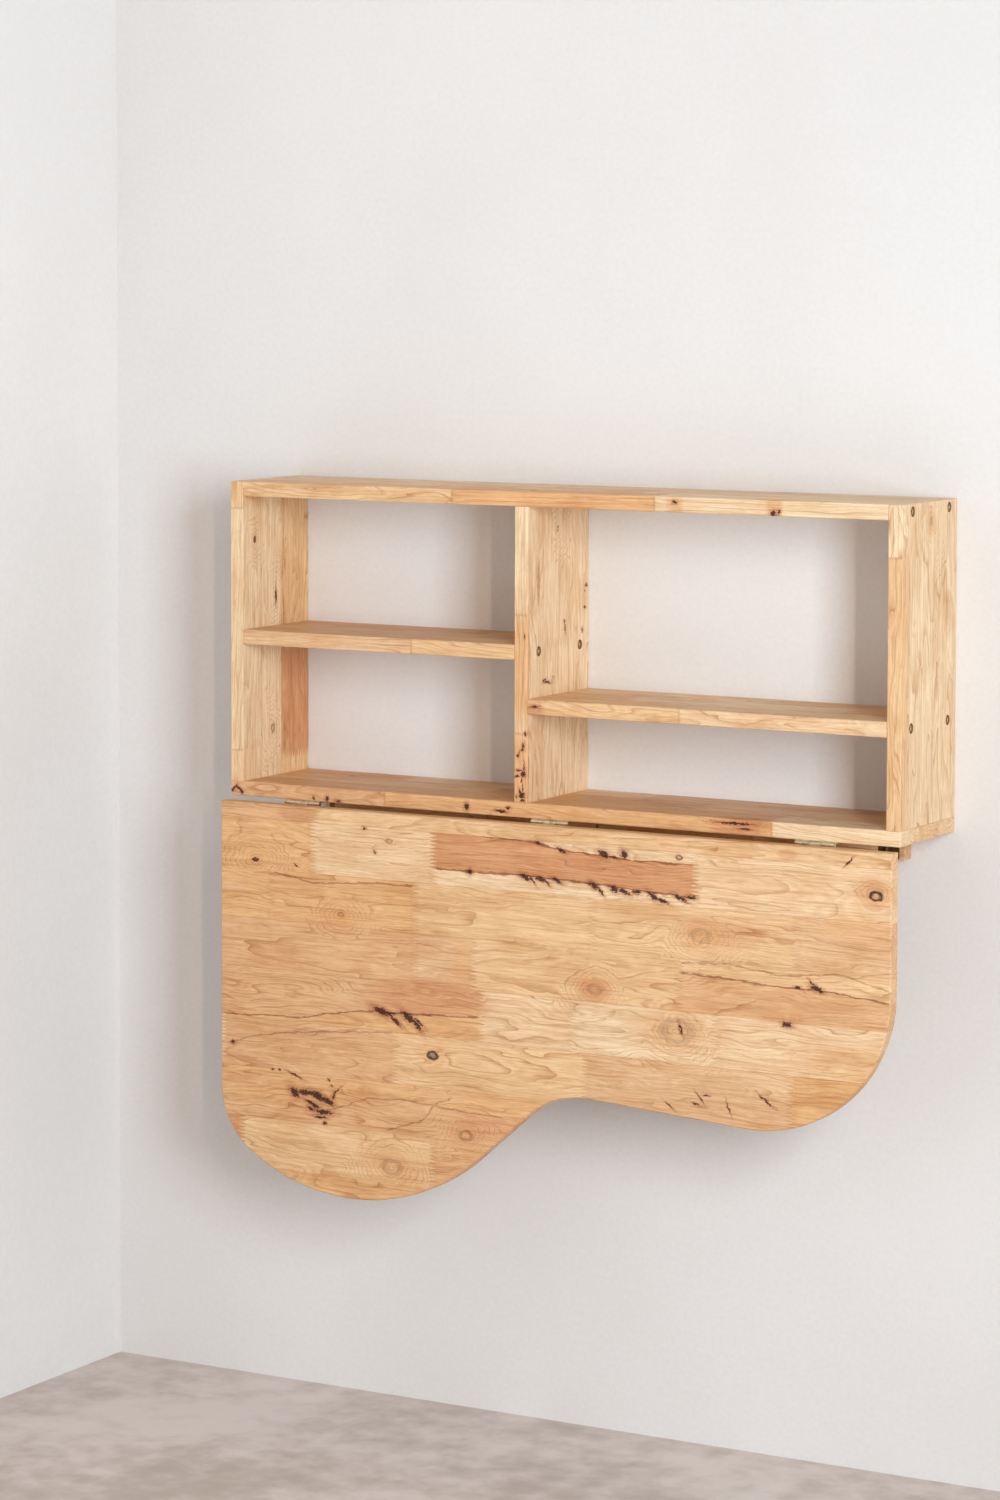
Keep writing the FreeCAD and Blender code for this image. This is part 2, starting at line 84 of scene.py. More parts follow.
class Finish:
    """A material whose colour, roughness and relief are written as formulas of sockets."""

    def __init__(self, name):
        self.material = bpy.data.materials.new(name)
        self.material.use_nodes = True
        self.tree = self.material.node_tree
        self.shader = self.tree.nodes["Principled BSDF"]
        self.place = self.add("TexCoord").outputs["Object"]

    def add(self, kind, inputs=None, **settings):
        made = self.tree.nodes.new("ShaderNode" + kind)
        for key, value in settings.items():
            setattr(made, key, value)
        for key, value in (inputs or {}).items():
            self.put(made.inputs[key], value)
        return made

    def put(self, socket, value):
        if isinstance(value, bpy.types.NodeSocket):
            self.tree.links.new(value, socket)
        else:
            socket.default_value = value

    def calc(self, operation, *values):
        return self.add("Math", dict(enumerate(values)), operation=operation).outputs[0]

    def vector(self, operation, *values):
        made = self.add("VectorMath", dict(enumerate(values)), operation=operation)
        return made.outputs["Value" if operation == "LENGTH" else "Vector"]

    def apart(self, vector):
        """A vector's three numbers."""
        return self.add("SeparateXYZ", {0: vector}).outputs

    def blend(self, share, first, second, kind="MIX"):
        """The first colour where the share is 0, the second where it is 1."""
        made = self.add("Mix", data_type="RGBA", blend_type=kind)
        for key, value in (("Factor_Float", share), ("A_Color", first), ("B_Color", second)):
            self.put(next(s for s in made.inputs if s.identifier == key), value)
        return next(s for s in made.outputs if s.identifier == "Result_Color")

    def darken(self, share, shade, tint):
        """The shade, multiplied by the linear tint where the share is 1."""
        return self.blend(share, shade, (*tint, 1.0), "MULTIPLY")

    def ease(self, value, low, high, at_low=0.0, at_high=1.0):
        """Smooth step from at_low to at_high while value goes from low to high."""
        return self.add("MapRange", {0: value, 1: low, 2: high, 3: at_low, 4: at_high},
                        interpolation_type="SMOOTHSTEP").outputs[0]

    def noise(self, place, size, detail=2.0, roughness=0.5, output="Fac"):
        """Noise whose lumps are about size across; size is a number or one for each axis."""
        size = size if isinstance(size, tuple) else (size,) * 3
        scaled = self.vector("MULTIPLY", place, tuple(1.0 / s for s in size))
        return self.add("TexNoise", {"Vector": scaled, "Scale": 1.0, "Detail": detail,
                                     "Roughness": roughness}).outputs[output]

    def parts(self, shade):
        """A colour's three numbers as a vector."""
        split = self.add("SeparateColor", {0: shade})
        return self.add("CombineXYZ", {k: split.outputs[k] for k in range(3)}).outputs[0]

    def scatter(self, place, size, detail=2.0, roughness=0.5):
        """Three noises at once, as a vector of numbers from 0 to 1."""
        return self.parts(self.noise(place, size, detail, roughness, "Color"))

    def swing(self, place, size, detail, roughness):
        """Three noises at once, as a vector of numbers from -0.5 to 0.5."""
        return self.vector("SUBTRACT", self.scatter(place, size, detail, roughness), (0.5,) * 3)

    def spread(self, chance, width):
        """A number from minus half the width to half of it, from one between 0 and 1."""
        return self.calc("MULTIPLY_ADD", chance, width, -width / 2)

    def reach(self, place, centre, halves):
        """Distance from a centre, one at the surface of the ellipsoid with these half sizes."""
        scaled = self.vector("MULTIPLY_ADD", place, tuple(1 / h for h in halves),
                             tuple(-c / h for c, h in zip(centre, halves)))
        return self.vector("LENGTH", scaled)

    def relief(self, height, strength, distance):
        bump = self.add("Bump", {"Height": height, "Strength": strength, "Distance": distance})
        self.put(self.shader.inputs["Normal"], bump.outputs[0])

    def on(self, *pieces):
        for piece in pieces:
            piece.data.materials.clear()
            piece.data.materials.append(self.material)


class Rubberwood(Finish):
    """Finger-jointed rubberwood board.

    Board coordinates: u along the grain from one end, v across the staves from one edge, w
    through the thickness. rows is a list of (v where the row starts, staves), each stave a (tone,
    u where it ends). knots: (u, v, radius, darkness of the ring of bark, darkness inside it).
    pockets of bark: (u, v, w, half length, half width, half depth, turn in degrees). seams, the
    natural edges of the heartwood: (number of the stave, points (u, v), tone beyond the line or
    None, side, darkness). patches: (u, v, half length, half width, tone, strength). recesses:
    (u, v) of the drilled seats of the screws, whose walls and floors get painted shade, a dark
    tone in place of the shade that falls inside the seats.
    """

    def __init__(self, name, lie, rows, seed, knots=(), pockets=(), seams=(), patches=(),
                 recesses=()):
        super().__init__(name)
        self.set_coordinates(*lie)
        shade = self.lay_up(rows)
        self.grow(seed, knots)
        for u, v, half_long, half_wide, tone, strength in patches:
            near = self.reach(self.frayed, (u, v, 0.0), (half_long, half_wide, THROUGH))
            shade = self.blend(self.ease(near, 0.55, 1.1, strength, 0.0), shade,
                               colour(*WOOD_TONES[tone]))
        if seams:
            shade, thread = self.run_seams(shade, seams)
        shade = self.figure(shade)
        if knots:
            shade = self.darken(self.halo, shade, (0.90, 0.68, 0.52))
            shade = self.blend(self.core, shade, colour(*BARK))
        if seams:
            shade = self.darken(thread, shade, (0.30, 0.13, 0.07))
        dark_spot = 0.0
        if pockets:
            shade, dark_spot = self.sink_pockets(shade, pockets)
        glue = self.calc("MAXIMUM", self.ease(self.joint, 0.4, 2.4, 0.36, 0.0),
                         self.ease(self.edge, 0.1, 0.8, 0.34, 0.0))
        shade = self.darken(glue, shade, (0.62, 0.44, 0.30))
        # painted shade: the screws' seats are coloured dark brown where shade falls inside them
        if recesses:
            shade = self.paint_seat_shade(shade, recesses)
        self.put(self.shader.inputs["Base Color"], shade)

        # satin lacquer: pores and bark stay a little open, so they are duller and lower
        dull = self.calc("MULTIPLY_ADD", self.fibre, 0.16, 0.40)
        self.put(self.shader.inputs["Roughness"],
                 self.calc("ADD", dull, self.calc("MULTIPLY", dark_spot, 0.25)))
        self.relief(self.calc("SUBTRACT", self.fibre, self.pore), 0.3, 0.0001)
        self.shader.inputs["Specular IOR Level"].default_value = 0.24

    def set_coordinates(self, along, across, zero):
        """u, v and w: the object's X, Y and Z in the order in which the board lies, each times
        1000 or -1000, plus its zero."""
        axes = dict(zip("XYZ", self.apart(self.place)))
        through = (set("XYZ") - {along[-1], across[-1]}).pop()
        self.u, self.v, self.w = (
            self.calc("MULTIPLY_ADD", axes[axis[-1]], -MM if axis[0] == "-" else MM, start)
            for axis, start in zip((along, across, through), zero))
        self.here = self.add("CombineXYZ", {0: self.u, 1: self.v, 2: self.w}).outputs[0]

    def nearer(self, distance, gap):
        """The smaller of a distance and the size of a gap."""
        return self.calc("MINIMUM", distance, self.calc("ABSOLUTE", gap))

    def lay_up(self, rows):
        """Tone of each stave, from its number.

        The number is the count of stave ends passed on a line on which each row starts ROW_STEP
        after the one before. The ends are finger joints, where a triangle wave of v shifts u.
        """
        starts = [start for start, _ in rows]
        last = starts[-1] - starts[-2] if len(rows) > 1 else SINGLE_ROW
        middles = [(low + high) / 2 for low, high in zip(starts, starts[1:] + [starts[-1] + last])]
        fingers = self.calc("PINGPONG", self.v, FINGER_PITCH / 2)
        line = self.calc("ADD", self.u, self.calc(
            "MULTIPLY_ADD", fingers, 2 * FINGER / FINGER_PITCH, -FINGER / 2))
        self.inside = self.calc("SUBTRACT", self.v, middles[0])
        self.edge = self.joint = FAR_OFF
        for start, step in zip(starts[1:], np.diff(middles)):
            past = self.calc("GREATER_THAN", self.v, start)
            line = self.calc("MULTIPLY_ADD", past, ROW_STEP, line)
            self.inside = self.calc("MULTIPLY_ADD", past, -float(step), self.inside)
            self.edge = self.nearer(self.edge, self.calc("SUBTRACT", self.v, start))
        tones, self.number = [], 0.0
        for row, (_, staves) in enumerate(rows):
            if row:
                self.number = self.calc("ADD", self.number, self.calc(
                    "GREATER_THAN", line, ROW_STEP * row - 50.0))
            for tone, end in staves:
                tones.append(colour(*WOOD_TONES[tone]))
                if end is not None:
                    gap = self.calc("SUBTRACT", line, ROW_STEP * row + end)
                    self.number = self.calc("ADD", self.number,
                                            self.calc("GREATER_THAN", gap, 0.0))
                    self.joint = self.nearer(self.joint, gap)
        ramp = self.add("ValToRGB", {0: self.calc(
            "MULTIPLY_ADD", self.number, 1 / MOST_STAVES, 0.5 / MOST_STAVES)})
        ramp.color_ramp.interpolation = "CONSTANT"
        stops = ramp.color_ramp.elements
        for k, tone in enumerate(tones):
            stop = stops[k] if k < 2 else stops.new(k / MOST_STAVES)
            stop.position, stop.color = k / MOST_STAVES, tone
        return ramp.outputs["Color"]

    def grow(self, seed, knots):
        """Growth rings: the distance to a pith that lies beside and below the stave.

        Each stave is cut from its own tree, so three chance numbers from its number place and
        tilt the pith. The rings sway and curl with noise, and bend round the knots: close by, a
        smooth minimum lets the distance to the knot take over.
        """
        chance = self.parts(self.add(
            "TexWhiteNoise", {"W": self.calc("ADD", self.number, seed * 37.3)},
            noise_dimensions="1D").outputs["Color"])
        roll = self.apart(chance)
        self.grain = self.vector("ADD", self.here,
                                 self.vector("MULTIPLY", chance, (3100.0, 700.0, 500.0)))
        sway = self.apart(self.scatter(self.grain, (170.0, 34.0, 34.0)))
        curl = self.swing(self.grain, (42.0, 15.0, 15.0), 2.0, 0.55)
        wobble = self.calc("MULTIPLY_ADD", self.apart(curl)[0], 6.0, self.spread(sway[0], 60.0))
        beside = self.calc("ADD", self.calc("ADD", self.inside, wobble), self.spread(roll[0], 96.0))
        tilt = self.calc("MULTIPLY", self.calc("SUBTRACT", self.u, UNIT_HALF),
                         self.spread(roll[1], 0.16))
        depth = self.calc("ADD", self.calc("MULTIPLY_ADD", roll[2], 42.0, 16.0), self.w)
        below = self.calc("ADD", depth, self.calc("ADD", tilt, self.spread(sway[1], 22.0)))
        field = self.calc("SQRT", self.calc("ADD", self.calc("MULTIPLY", beside, beside),
                                            self.calc("MULTIPLY", below, below)))

        self.fray = self.vector("MULTIPLY", self.swing(self.here, 5.0, 3.0, 0.6), (7.0, 5.0, 5.0))
        self.frayed = self.vector("ADD", self.here, self.fray)
        drifting = self.vector("ADD", self.here, self.vector("MULTIPLY", curl, (26.0, 15.0, 0.0)))
        self.core = self.halo = ringed = 0.0
        for u, v, radius, dark, inner in knots:
            near = self.reach(self.frayed, (u, v, 0.0), (radius * 1.5, radius, THROUGH))
            wide = self.calc("MULTIPLY", self.reach(
                drifting, (u, v, 0.0), (1.4, 1.0, THROUGH)), 1.45)
            field = self.calc("SMOOTH_MIN", field,
                              self.calc("ADD", wide, max(0.0, 22.0 - 2.2 * radius)), 10.0)
            ringed = self.calc("MAXIMUM", ringed,
                               self.ease(wide, 2.0 * radius, 5.0 * radius, 0.40, 0.0))
            bark = self.calc("MULTIPLY", self.ease(near, 0.35, 0.75, inner, dark),
                             self.ease(near, 0.85, 1.25, 1.0, 0.0))
            self.core = self.calc("MAXIMUM", self.core, bark)
            self.halo = self.calc("MAXIMUM", self.halo, self.ease(near, 0.9, 3.6, 0.4, 0.0))

        # late wood: thin darker lines where the rings end, of uneven spacing and strength
        self.streaks = self.noise(self.grain, (70.0, 1.9, 1.9), 3.0, 0.6)
        turns = self.calc("MULTIPLY_ADD", field, 1 / RING_PITCH,
                          self.calc("MULTIPLY", sway[2], 1.4))
        uneven = self.ease(self.noise(self.grain, (120.0, 16.0, 16.0)), 0.34, 0.64, 0.30, 1.0)
        self.late = self.calc("MULTIPLY", self.calc("POWER", self.calc("FRACT", turns), 7.0),
                              self.calc("MAXIMUM", uneven, ringed) if knots else uneven)
        self.fine = self.calc("PINGPONG", self.calc("MULTIPLY_ADD", self.streaks, 2.2, self.calc(
            "MULTIPLY", field, 1 / HALF_FINE)), 1.0)

    def run_seams(self, shade, seams):
        """Natural edges between heartwood and sapwood, each a line of v against u.

        The line is a ramp of its points over u, and noise makes it stray. Returns the shade with
        the tones beyond the lines, and the darkness of the lines themselves.
        """
        thread = 0.0
        stray = self.calc("MULTIPLY_ADD", self.noise(self.grain, (22.0, 6.0, 6.0), 4.0, 0.65), 9.0,
                          self.calc("SUBTRACT", self.v, 4.5))
        for stave, points, tone, side, dark in seams:
            ramp = self.add("ValToRGB", {0: self.calc("MULTIPLY", self.u, 1 / SEAM_LENGTH)})
            stops = ramp.color_ramp.elements
            for k, (u, v) in enumerate(points):
                stop = stops[k] if k < 2 else stops.new(min(u / SEAM_LENGTH, 1.0))
                stop.position = min(u / SEAM_LENGTH, 1.0)
                stop.color = (v / SEAM_WIDTH,) * 3 + (1.0,)
            middle = self.add("SeparateColor", {0: ramp.outputs["Color"]}).outputs[0]
            off = self.calc("MULTIPLY_ADD", middle, -SEAM_WIDTH, stray)
            on_stave = self.calc("COMPARE", self.number, float(stave), 0.3)
            if tone:
                beyond = self.ease(self.calc("MULTIPLY", off, float(side)), -0.6, 1.4)
                share = self.calc("MULTIPLY", beyond, self.calc("MULTIPLY", on_stave, 0.9))
                shade = self.blend(share, shade, colour(*WOOD_TONES[tone]))
            first, last = points[0][0], points[-1][0]
            within = self.calc("MULTIPLY", on_stave, self.calc(
                "MULTIPLY", self.ease(self.u, first - 1, first + 6),
                self.ease(self.u, last - 6, last + 1, 1.0, 0.0)))
            thin = self.ease(self.calc("ABSOLUTE", off), 0.3, 1.5, dark, 0.0)
            thread = self.calc("MAXIMUM", thread, self.calc("MULTIPLY", thin, within))
        return shade, thread

    def figure(self, shade):
        """Colour of the grain, from the broad clouds down to the pores: each noise, and each wave
        of the ring field, multiplies the shade by its own tint."""
        cloud = self.noise(self.here, (85.0, 34.0, 34.0), 3.0, 0.6)
        broad = self.noise(self.grain, (150.0, 11.0, 11.0), 3.0, 0.55)
        self.fibre = self.noise(self.here, (16.0, 0.55, 0.55), 2.0, 0.6)
        self.pore = self.ease(self.noise(self.here, (11.0, 0.7, 0.7), 1.0), 0.62, 0.74)
        for share, tint in (
                (self.ease(cloud, 0.44, 0.66, 0.0, 0.55), (0.86, 0.73, 0.62)),
                (self.ease(broad, 0.30, 0.70, 0.5, 0.0), (0.80, 0.70, 0.60)),
                (self.calc("MULTIPLY", self.fine, 0.36), (0.74, 0.60, 0.46)),
                (self.ease(self.streaks, 0.47, 0.66, 0.0, 0.6), (0.76, 0.65, 0.54)),
                (self.calc("MULTIPLY", self.late, 0.85), (0.62, 0.43, 0.28)),
                (self.ease(self.fibre, 0.35, 0.65, 0.36, 0.0), (0.76, 0.68, 0.59)),
                (self.calc("MULTIPLY", self.pore, 0.5), (0.60, 0.45, 0.32))):
            shade = self.darken(share, shade, tint)
        return shade

    def sink_pockets(self, shade, pockets):
        """Bark pockets: frayed ellipsoids, turned in the plane of the face.

        The place is turned once for all the pockets with the same turn. Returns the shade with
        the pockets and the stain round them, and how dark each point is made.
        """
        torn = self.apart(self.vector("ADD", self.here, self.vector(
            "MULTIPLY", self.fray, (1.2, 1.3, 1.0))))
        closest = FAR_OFF
        for turn in sorted({pocket[-1] for pocket in pockets}):
            c, s = math.cos(math.radians(turn)), math.sin(math.radians(turn))
            turned = self.add("CombineXYZ", {
                0: self.calc("MULTIPLY_ADD", torn[0], c, self.calc("MULTIPLY", torn[1], s)),
                1: self.calc("MULTIPLY_ADD", torn[0], -s, self.calc("MULTIPLY", torn[1], c)),
                2: torn[2]}).outputs[0]
            for u, v, w, half_long, half_wide, half_deep, angle in pockets:
                if angle == turn:
                    near = self.reach(turned, (u * c + v * s, v * c - u * s, w),
                                      (half_long, half_wide, half_deep))
                    closest = self.calc("MINIMUM", closest, near)
        ragged = self.noise(self.here, (3.2, 1.3, 1.3), 3.0, 0.65)
        closest = self.calc("MULTIPLY_ADD", ragged, 2.4, self.calc("SUBTRACT", closest, 1.2))
        shade = self.darken(self.ease(closest, 0.9, 2.6, 0.6, 0.0), shade, (0.58, 0.32, 0.26))
        dark_spot = self.ease(closest, 0.75, 1.15, 0.93, 0.0)
        return self.blend(dark_spot, shade, colour(*BARK)), dark_spot

    def paint_seat_shade(self, shade, recesses):
        """Painted shade in the drilled seats: their walls and floors, inside the radius and below
        the face, are coloured dark brown in place of the shade that falls in them.
        """
        seat = FAR_OFF
        for u, v in recesses:
            seat = self.calc("MINIMUM", seat, self.reach(
                self.here, (u, v, 0.0), (SEAT_RADIUS, SEAT_RADIUS, THROUGH)))
        below_face = self.ease(self.calc("ABSOLUTE", self.w), SEAT_TOP - 0.5, SEAT_TOP, 0.85, 0.0)
        seat_shade = self.calc("MULTIPLY", self.calc("LESS_THAN", seat, 1.0), below_face)
        return self.blend(seat_shade, shade, (0.16, 0.09, 0.06, 1.0))


def along_x(middle_z):
    """Grain along X: u from the left end, v from the front edge, w up from the board's middle."""
    return "X", "Y", (UNIT_HALF, UNIT_DEPTH, -middle_z)


Rubberwood("batten_wood", along_x(0.0),
           [(-10.0, [("honey", 150.0), ("cream", 420.0), ("golden", 690.0), ("honey", None)])],
           1).on(nodes["wall_batten"])

# ---- bottom board ----------------------------------------------------------------------------
# The widest board of the unit, three rows of staves edge-glued together. The batten is screwed to
# it from below, and its front edge carries the leaf's hinges.


def in_front_edge(marks, depth=2.0):
    """Pockets that the front edge cuts through, from (u, w, half length, half height)."""
    return [(u, 0.0, w, half_long, depth, half_high, 0.0) for u, w, half_long, half_high in marks]


Rubberwood(
    "bottom_board_wood", along_x(26.5),
    [(0.0, [("brown", 215.0), ("golden", 733.0), ("pale", None)]),
     (52.0, [("honey", 330.0), ("golden", 610.0), ("honey", None)]),
     (104.0, [("golden", 180.0), ("cream", 520.0), ("pinkish", 840.0), ("cream", None)])],
    2, pockets=[
        *in_front_edge([(2.5 + 2.0 * k, 3.0 - 1.8 * abs(k - 3), 1.7, 1.9) for k in range(8)], 2.5),
        *in_front_edge([(120.0, -5.0, 1.6, 2.2), (155.0, -7.0, 4.0, 1.8), (335.0, -1.0, 3.0, 4.0),
                        (392.0, 1.0, 3.0, 1.6), (705.0, -2.0, 9.0, 1.0)]),
        *in_front_edge([(139.0, -5.0, 2.4, 3.2), (382.0, -3.0, 8.0, 1.8), (692.0, 4.0, 24.0, 1.3)],
                       3.0)],
    patches=[(695.0, 0.0, 40.0, 24.0, "reddish", 0.8), (385.0, 0.0, 60.0, 14.0, "amber", 0.7)],
).on(nodes["bottom_board"])

# ---- side panels -----------------------------------------------------------------------------
# Upright boards at both ends, standing on the bottom board and closing the top board's ends. Each
# is three staves wide, and the connecting screws are sunk in round recesses in its outer face.

PANEL_X = 441.0             # middle of the right panel; the left one has the same with a minus
TOP_BOARD_Z, LEFT_SHELF_Z, RIGHT_SHELF_Z = 394.5, 213.0, 149.5      # the boards' middles
FRONT_SCREWS, BACK_SCREWS = 27.0, 128.0     # from the boards' front edges


def along_z(middle_x):
    """Grain upright: u down from the top, v from the front edge, w from the board's middle."""
    return "-Z", "Y", (UNIT_TOP, UNIT_DEPTH, -middle_x)


def screw_seats(*heights):
    """Two screws, front and back, at each height of an upright board."""
    return [(UNIT_TOP - z, v) for z in heights for v in (FRONT_SCREWS, BACK_SCREWS)]


Rubberwood(
    "left_panel_wood", along_z(-PANEL_X),
    [(0.0, [("honey", 27.0), ("pale", 324.0), ("cream", None)]),
     (40.0, [("pale", 205.0), ("pale", None)]),
     (86.0, [("honey", 212.0), ("reddish", 345.0), ("honey", None)])],
    3, knots=[(72.0, 26.0, 2.8, 0.9, 0.7), (309.0, 67.0, 4.0, 0.6, 0.25),
              (145.0, 74.0, 2.2, 0.6, 0.6)],
    pockets=[(145.0, 74.0, 9.0, 9.0, 1.4, 4.0, 0.0)],
    seams=[(5, [(0.0, 92.0), (120.0, 90.0), (212.0, 94.0)], None, 1, 0.5)],
    recesses=screw_seats(TOP_BOARD_Z, LEFT_SHELF_Z),
).on(nodes["left_side_panel"])

Rubberwood(
    "right_panel_wood", along_z(PANEL_X),
    [(0.0, [("pale", 54.0), ("honey", None)]),
     (20.0, [("pale", 190.0), ("pale", None)]),
     (88.0, [("pale", 344.0), ("pale", None)])],
    4, knots=[(22.0, 78.0, 3.0, 0.3, 0.1)],
    patches=[(22.0, 78.0, 22.0, 9.0, "amber", 0.6), (112.0, 126.0, 10.0, 16.0, "pinkish", 0.6)],
    seams=[(3, [(190.0, 84.0), (350.0, 85.0)], None, 1, 0.35)],
    recesses=screw_seats(TOP_BOARD_Z, RIGHT_SHELF_Z),
).on(nodes["right_side_panel"])

# ---- divider ---------------------------------------------------------------------------------
# The upright between the two bays, left of the middle. Its front stave has a run of bark pockets
# near the foot, where the wood is taken from close under the bark.

DIVIDER_X, HALF_BOARD = -41.0, 9.0
Rubberwood(
    "divider_wood", along_z(DIVIDER_X),
    [(0.0, [("pale", 140.0), ("pale", 281.0), ("cream", None)]),
     (38.0, [("pale", 183.0), ("pale", None)]),
     (98.0, [("pale", 250.0), ("pale", None)])],
    5, knots=[(48.0, 72.0, 2.6, 0.5, 0.1)],
    pockets=[
        *in_front_edge([
            (286.0, 6.4, 2.4, 1.3), (301.0, 3.6, 3.6, 1.6), (306.0, 2.4, 1.5, 2.4),
            (312.5, -4.0, 1.7, 1.3), (309.0, -2.4, 2.4, 0.7), (330.0, -2.4, 1.0, 4.2),
            (337.0, -5.0, 1.3, 3.2), (327.0, 4.4, 5.0, 0.8), (341.0, 1.4, 3.0, 0.9),
            (355.0, -1.0, 3.4, 1.5), (366.0, 2.6, 1.6, 3.0), (351.0, 2.6, 4.0, 0.8),
            (362.0, -5.2, 1.5, 1.3), (171.0, 5.0, 2.6, 0.9)]),
        *in_front_edge([(334.0, 3.2, 3.6, 3.2), (360.0, 1.6, 3.2, 3.4)], 3.0),
        *[(u, v, HALF_BOARD, half_long, half_wide, 4.0, turn)
          for u, v, half_long, half_wide, turn in (
              (168.0, 91.0, 5.0, 1.7, 12.0), (160.0, 89.0, 1.8, 1.4, 0.0),
              (226.0, 41.0, 1.4, 4.0, 25.0), (229.0, 48.0, 1.3, 7.0, -8.0),
              (120.0, 143.0, 1.6, 2.8, 0.0), (146.0, 140.0, 1.6, 2.2, 0.0),
              (173.0, 134.0, 2.4, 2.0, 0.0), (127.0, 140.0, 1.2, 1.2, 0.0))]],
    patches=[(110.0, 26.0, 34.0, 4.0, "rust", 0.7), (345.0, 0.0, 70.0, 5.0, "amber", 0.9),
             (210.0, 0.0, 75.0, 5.0, "golden", 0.9)],
    recesses=screw_seats(LEFT_SHELF_Z, RIGHT_SHELF_Z),
).on(nodes["divider_panel"])

# ---- top board -------------------------------------------------------------------------------
# Lies between the side panels' upper ends, screwed through them, with a middle stave of redder
# wood in its front row and two small knots that the front edge cuts through.

Rubberwood(
    "top_board_wood", along_x(TOP_BOARD_Z),
    [(0.0, [("honey", 308.0), ("amber", 580.0), ("pale", None)]),
     (50.0, [("cream", 260.0), ("honey", 540.0), ("pale", None)]),
     (100.0, [("pale", 400.0), ("cream", 700.0), ("pale", None)])],
    6, pockets=[*in_front_edge([(612.0, 3.0, 3.0, 2.0), (746.0, -4.0, 2.0, 2.4)]),
                *in_front_edge([(739.0, -6.0, 3.5, 3.0)], 3.0)],
    patches=[(612.0, 0.0, 12.0, 8.0, "amber", 0.6), (740.0, 0.0, 12.0, 8.0, "amber", 0.7)],
).on(nodes["top_board"])

# ---- shelves ---------------------------------------------------------------------------------
# One board in each bay, held by two screws at each end: through the side panel on one side and
# through the divider on the other.

Rubberwood(
    "left_shelf_wood", along_x(LEFT_SHELF_Z),
    [(0.0, [("pinkish", 252.0), ("honey", None)]),
     (46.0, [("pinkish", 170.0), ("pinkish", None)]),
     (98.0, [("brown", 300.0), ("honey", None)])], 7).on(nodes["left_shelf"])
Rubberwood(
    "right_shelf_wood", along_x(RIGHT_SHELF_Z),
    [(0.0, [("honey", 613.0), ("cream", None)]),
     (50.0, [("honey", 520.0), ("pale", 800.0), ("honey", None)]),
     (100.0, [("cream", 680.0), ("honey", None)])],
    8, pockets=in_front_edge([(428.0, 1.0, 5.0, 1.4)]),
    patches=[(426.0, 0.0, 16.0, 10.0, "rust", 0.5)]).on(nodes["right_shelf"])

# ---- wall brackets ---------------------------------------------------------------------------
# Small bent steel angles, zinc plated, screwed up into the top board and meant for one screw each
# into the wall.


def plated(name, tint, dark_tint, roughness, brushed):
    """Satin metal: fine brush lines along X, cloudy tarnish and duller patches."""
    f = Finish(name)
    millimetres = f.vector("SCALE", f.place)
    millimetres.node.inputs["Scale"].default_value = MM
    brush = f.noise(millimetres, (6.0, 0.12, 0.12))
    cloud = f.noise(millimetres, 5.0, 4.0, 0.6)
    shade = f.blend(f.ease(cloud, 0.38, 0.72), colour(*tint), colour(*dark_tint))
    shade = f.darken(f.calc("MULTIPLY", brush, 0.25), shade, (0.7, 0.68, 0.66))
    f.put(f.shader.inputs["Base Color"], shade)
    f.put(f.shader.inputs["Roughness"], f.calc("MULTIPLY_ADD", cloud, 0.22, roughness))
    f.shader.inputs["Metallic"].default_value = 1.0
    f.relief(brush, brushed, 0.00004)
    return f


zinc = plated("zinc_plate", (0.80, 0.80, 0.79), (0.62, 0.62, 0.63), 0.28, 0.5)
zinc.on(nodes["left_wall_bracket"], nodes["right_wall_bracket"])

# ---- screws ----------------------------------------------------------------------------------
# Brass-plated connecting screws with a hexagon socket, their heads 1.4 mm below the boards'
# faces. Zinc-plated ones with a cross recess hold the batten and the brackets.


def hexagon(turn):
    """Radius of a hexagon of unit half width at an angle: 1 / cos of the angle to the flat."""
    return 1.0 / np.cos((turn + math.pi / 6) % (math.pi / 3) - math.pi / 6)


def cross(turn):
    """Radius of a cross recess of unit reach: its arm's half width over the smaller of sine and
    cosine, no more than the reach."""
    return np.minimum(1.0, 0.24 / np.maximum(
        np.minimum(abs(np.sin(turn)), abs(np.cos(turn))), 1e-6))


def turned_heads(name, profile, recess, places, body, finish, around=48):
    """Screw heads: rings of (radius, height, in recess) round each place's outward direction.

    A ring in the recess has its radius times the recess's outline at each angle. The first and
    the last ring are closed with a flat face.
    """
    turn = np.arange(around) * 2 * math.pi / around
    radius = np.array([r * (recess(turn) if deep else np.ones(around)) for r, _, deep in profile])
    height = np.repeat(np.array([h for _, h, _ in profile])[:, None], around, 1)
    local = np.stack([radius * np.cos(turn), radius * np.sin(turn), height], -1) / MM
    rings = len(profile)
    row, column = np.meshgrid(np.arange(rings - 1) * around, np.arange(around), indexing="ij")
    following = (column + 1) % around
    quads = np.stack([row + column, row + following, row + around + following,
                      row + around + column], -1).reshape(-1, 4)
    vertices, faces = [], []
    for point, outward in places:
        basis = Vector(outward).to_track_quat("Z", "Y").to_matrix()
        vertices.append(local.reshape(-1, 3) @ np.array(basis).T + np.array(point) / MM)
        base = rings * around * (len(vertices) - 1)
        faces += (quads + base).tolist()
        faces.append((base + np.arange(around)[::-1]).tolist())
        faces.append((base + (rings - 1) * around + np.arange(around)).tolist())
    mesh = bpy.data.meshes.new(name)
    mesh.from_pydata(np.concatenate(vertices).tolist(), [], faces)
    mesh.update()
    piece = bpy.data.objects.new(name, mesh)
    bpy.context.scene.collection.objects.link(piece)
    finish.on(piece)
    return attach(piece, body)


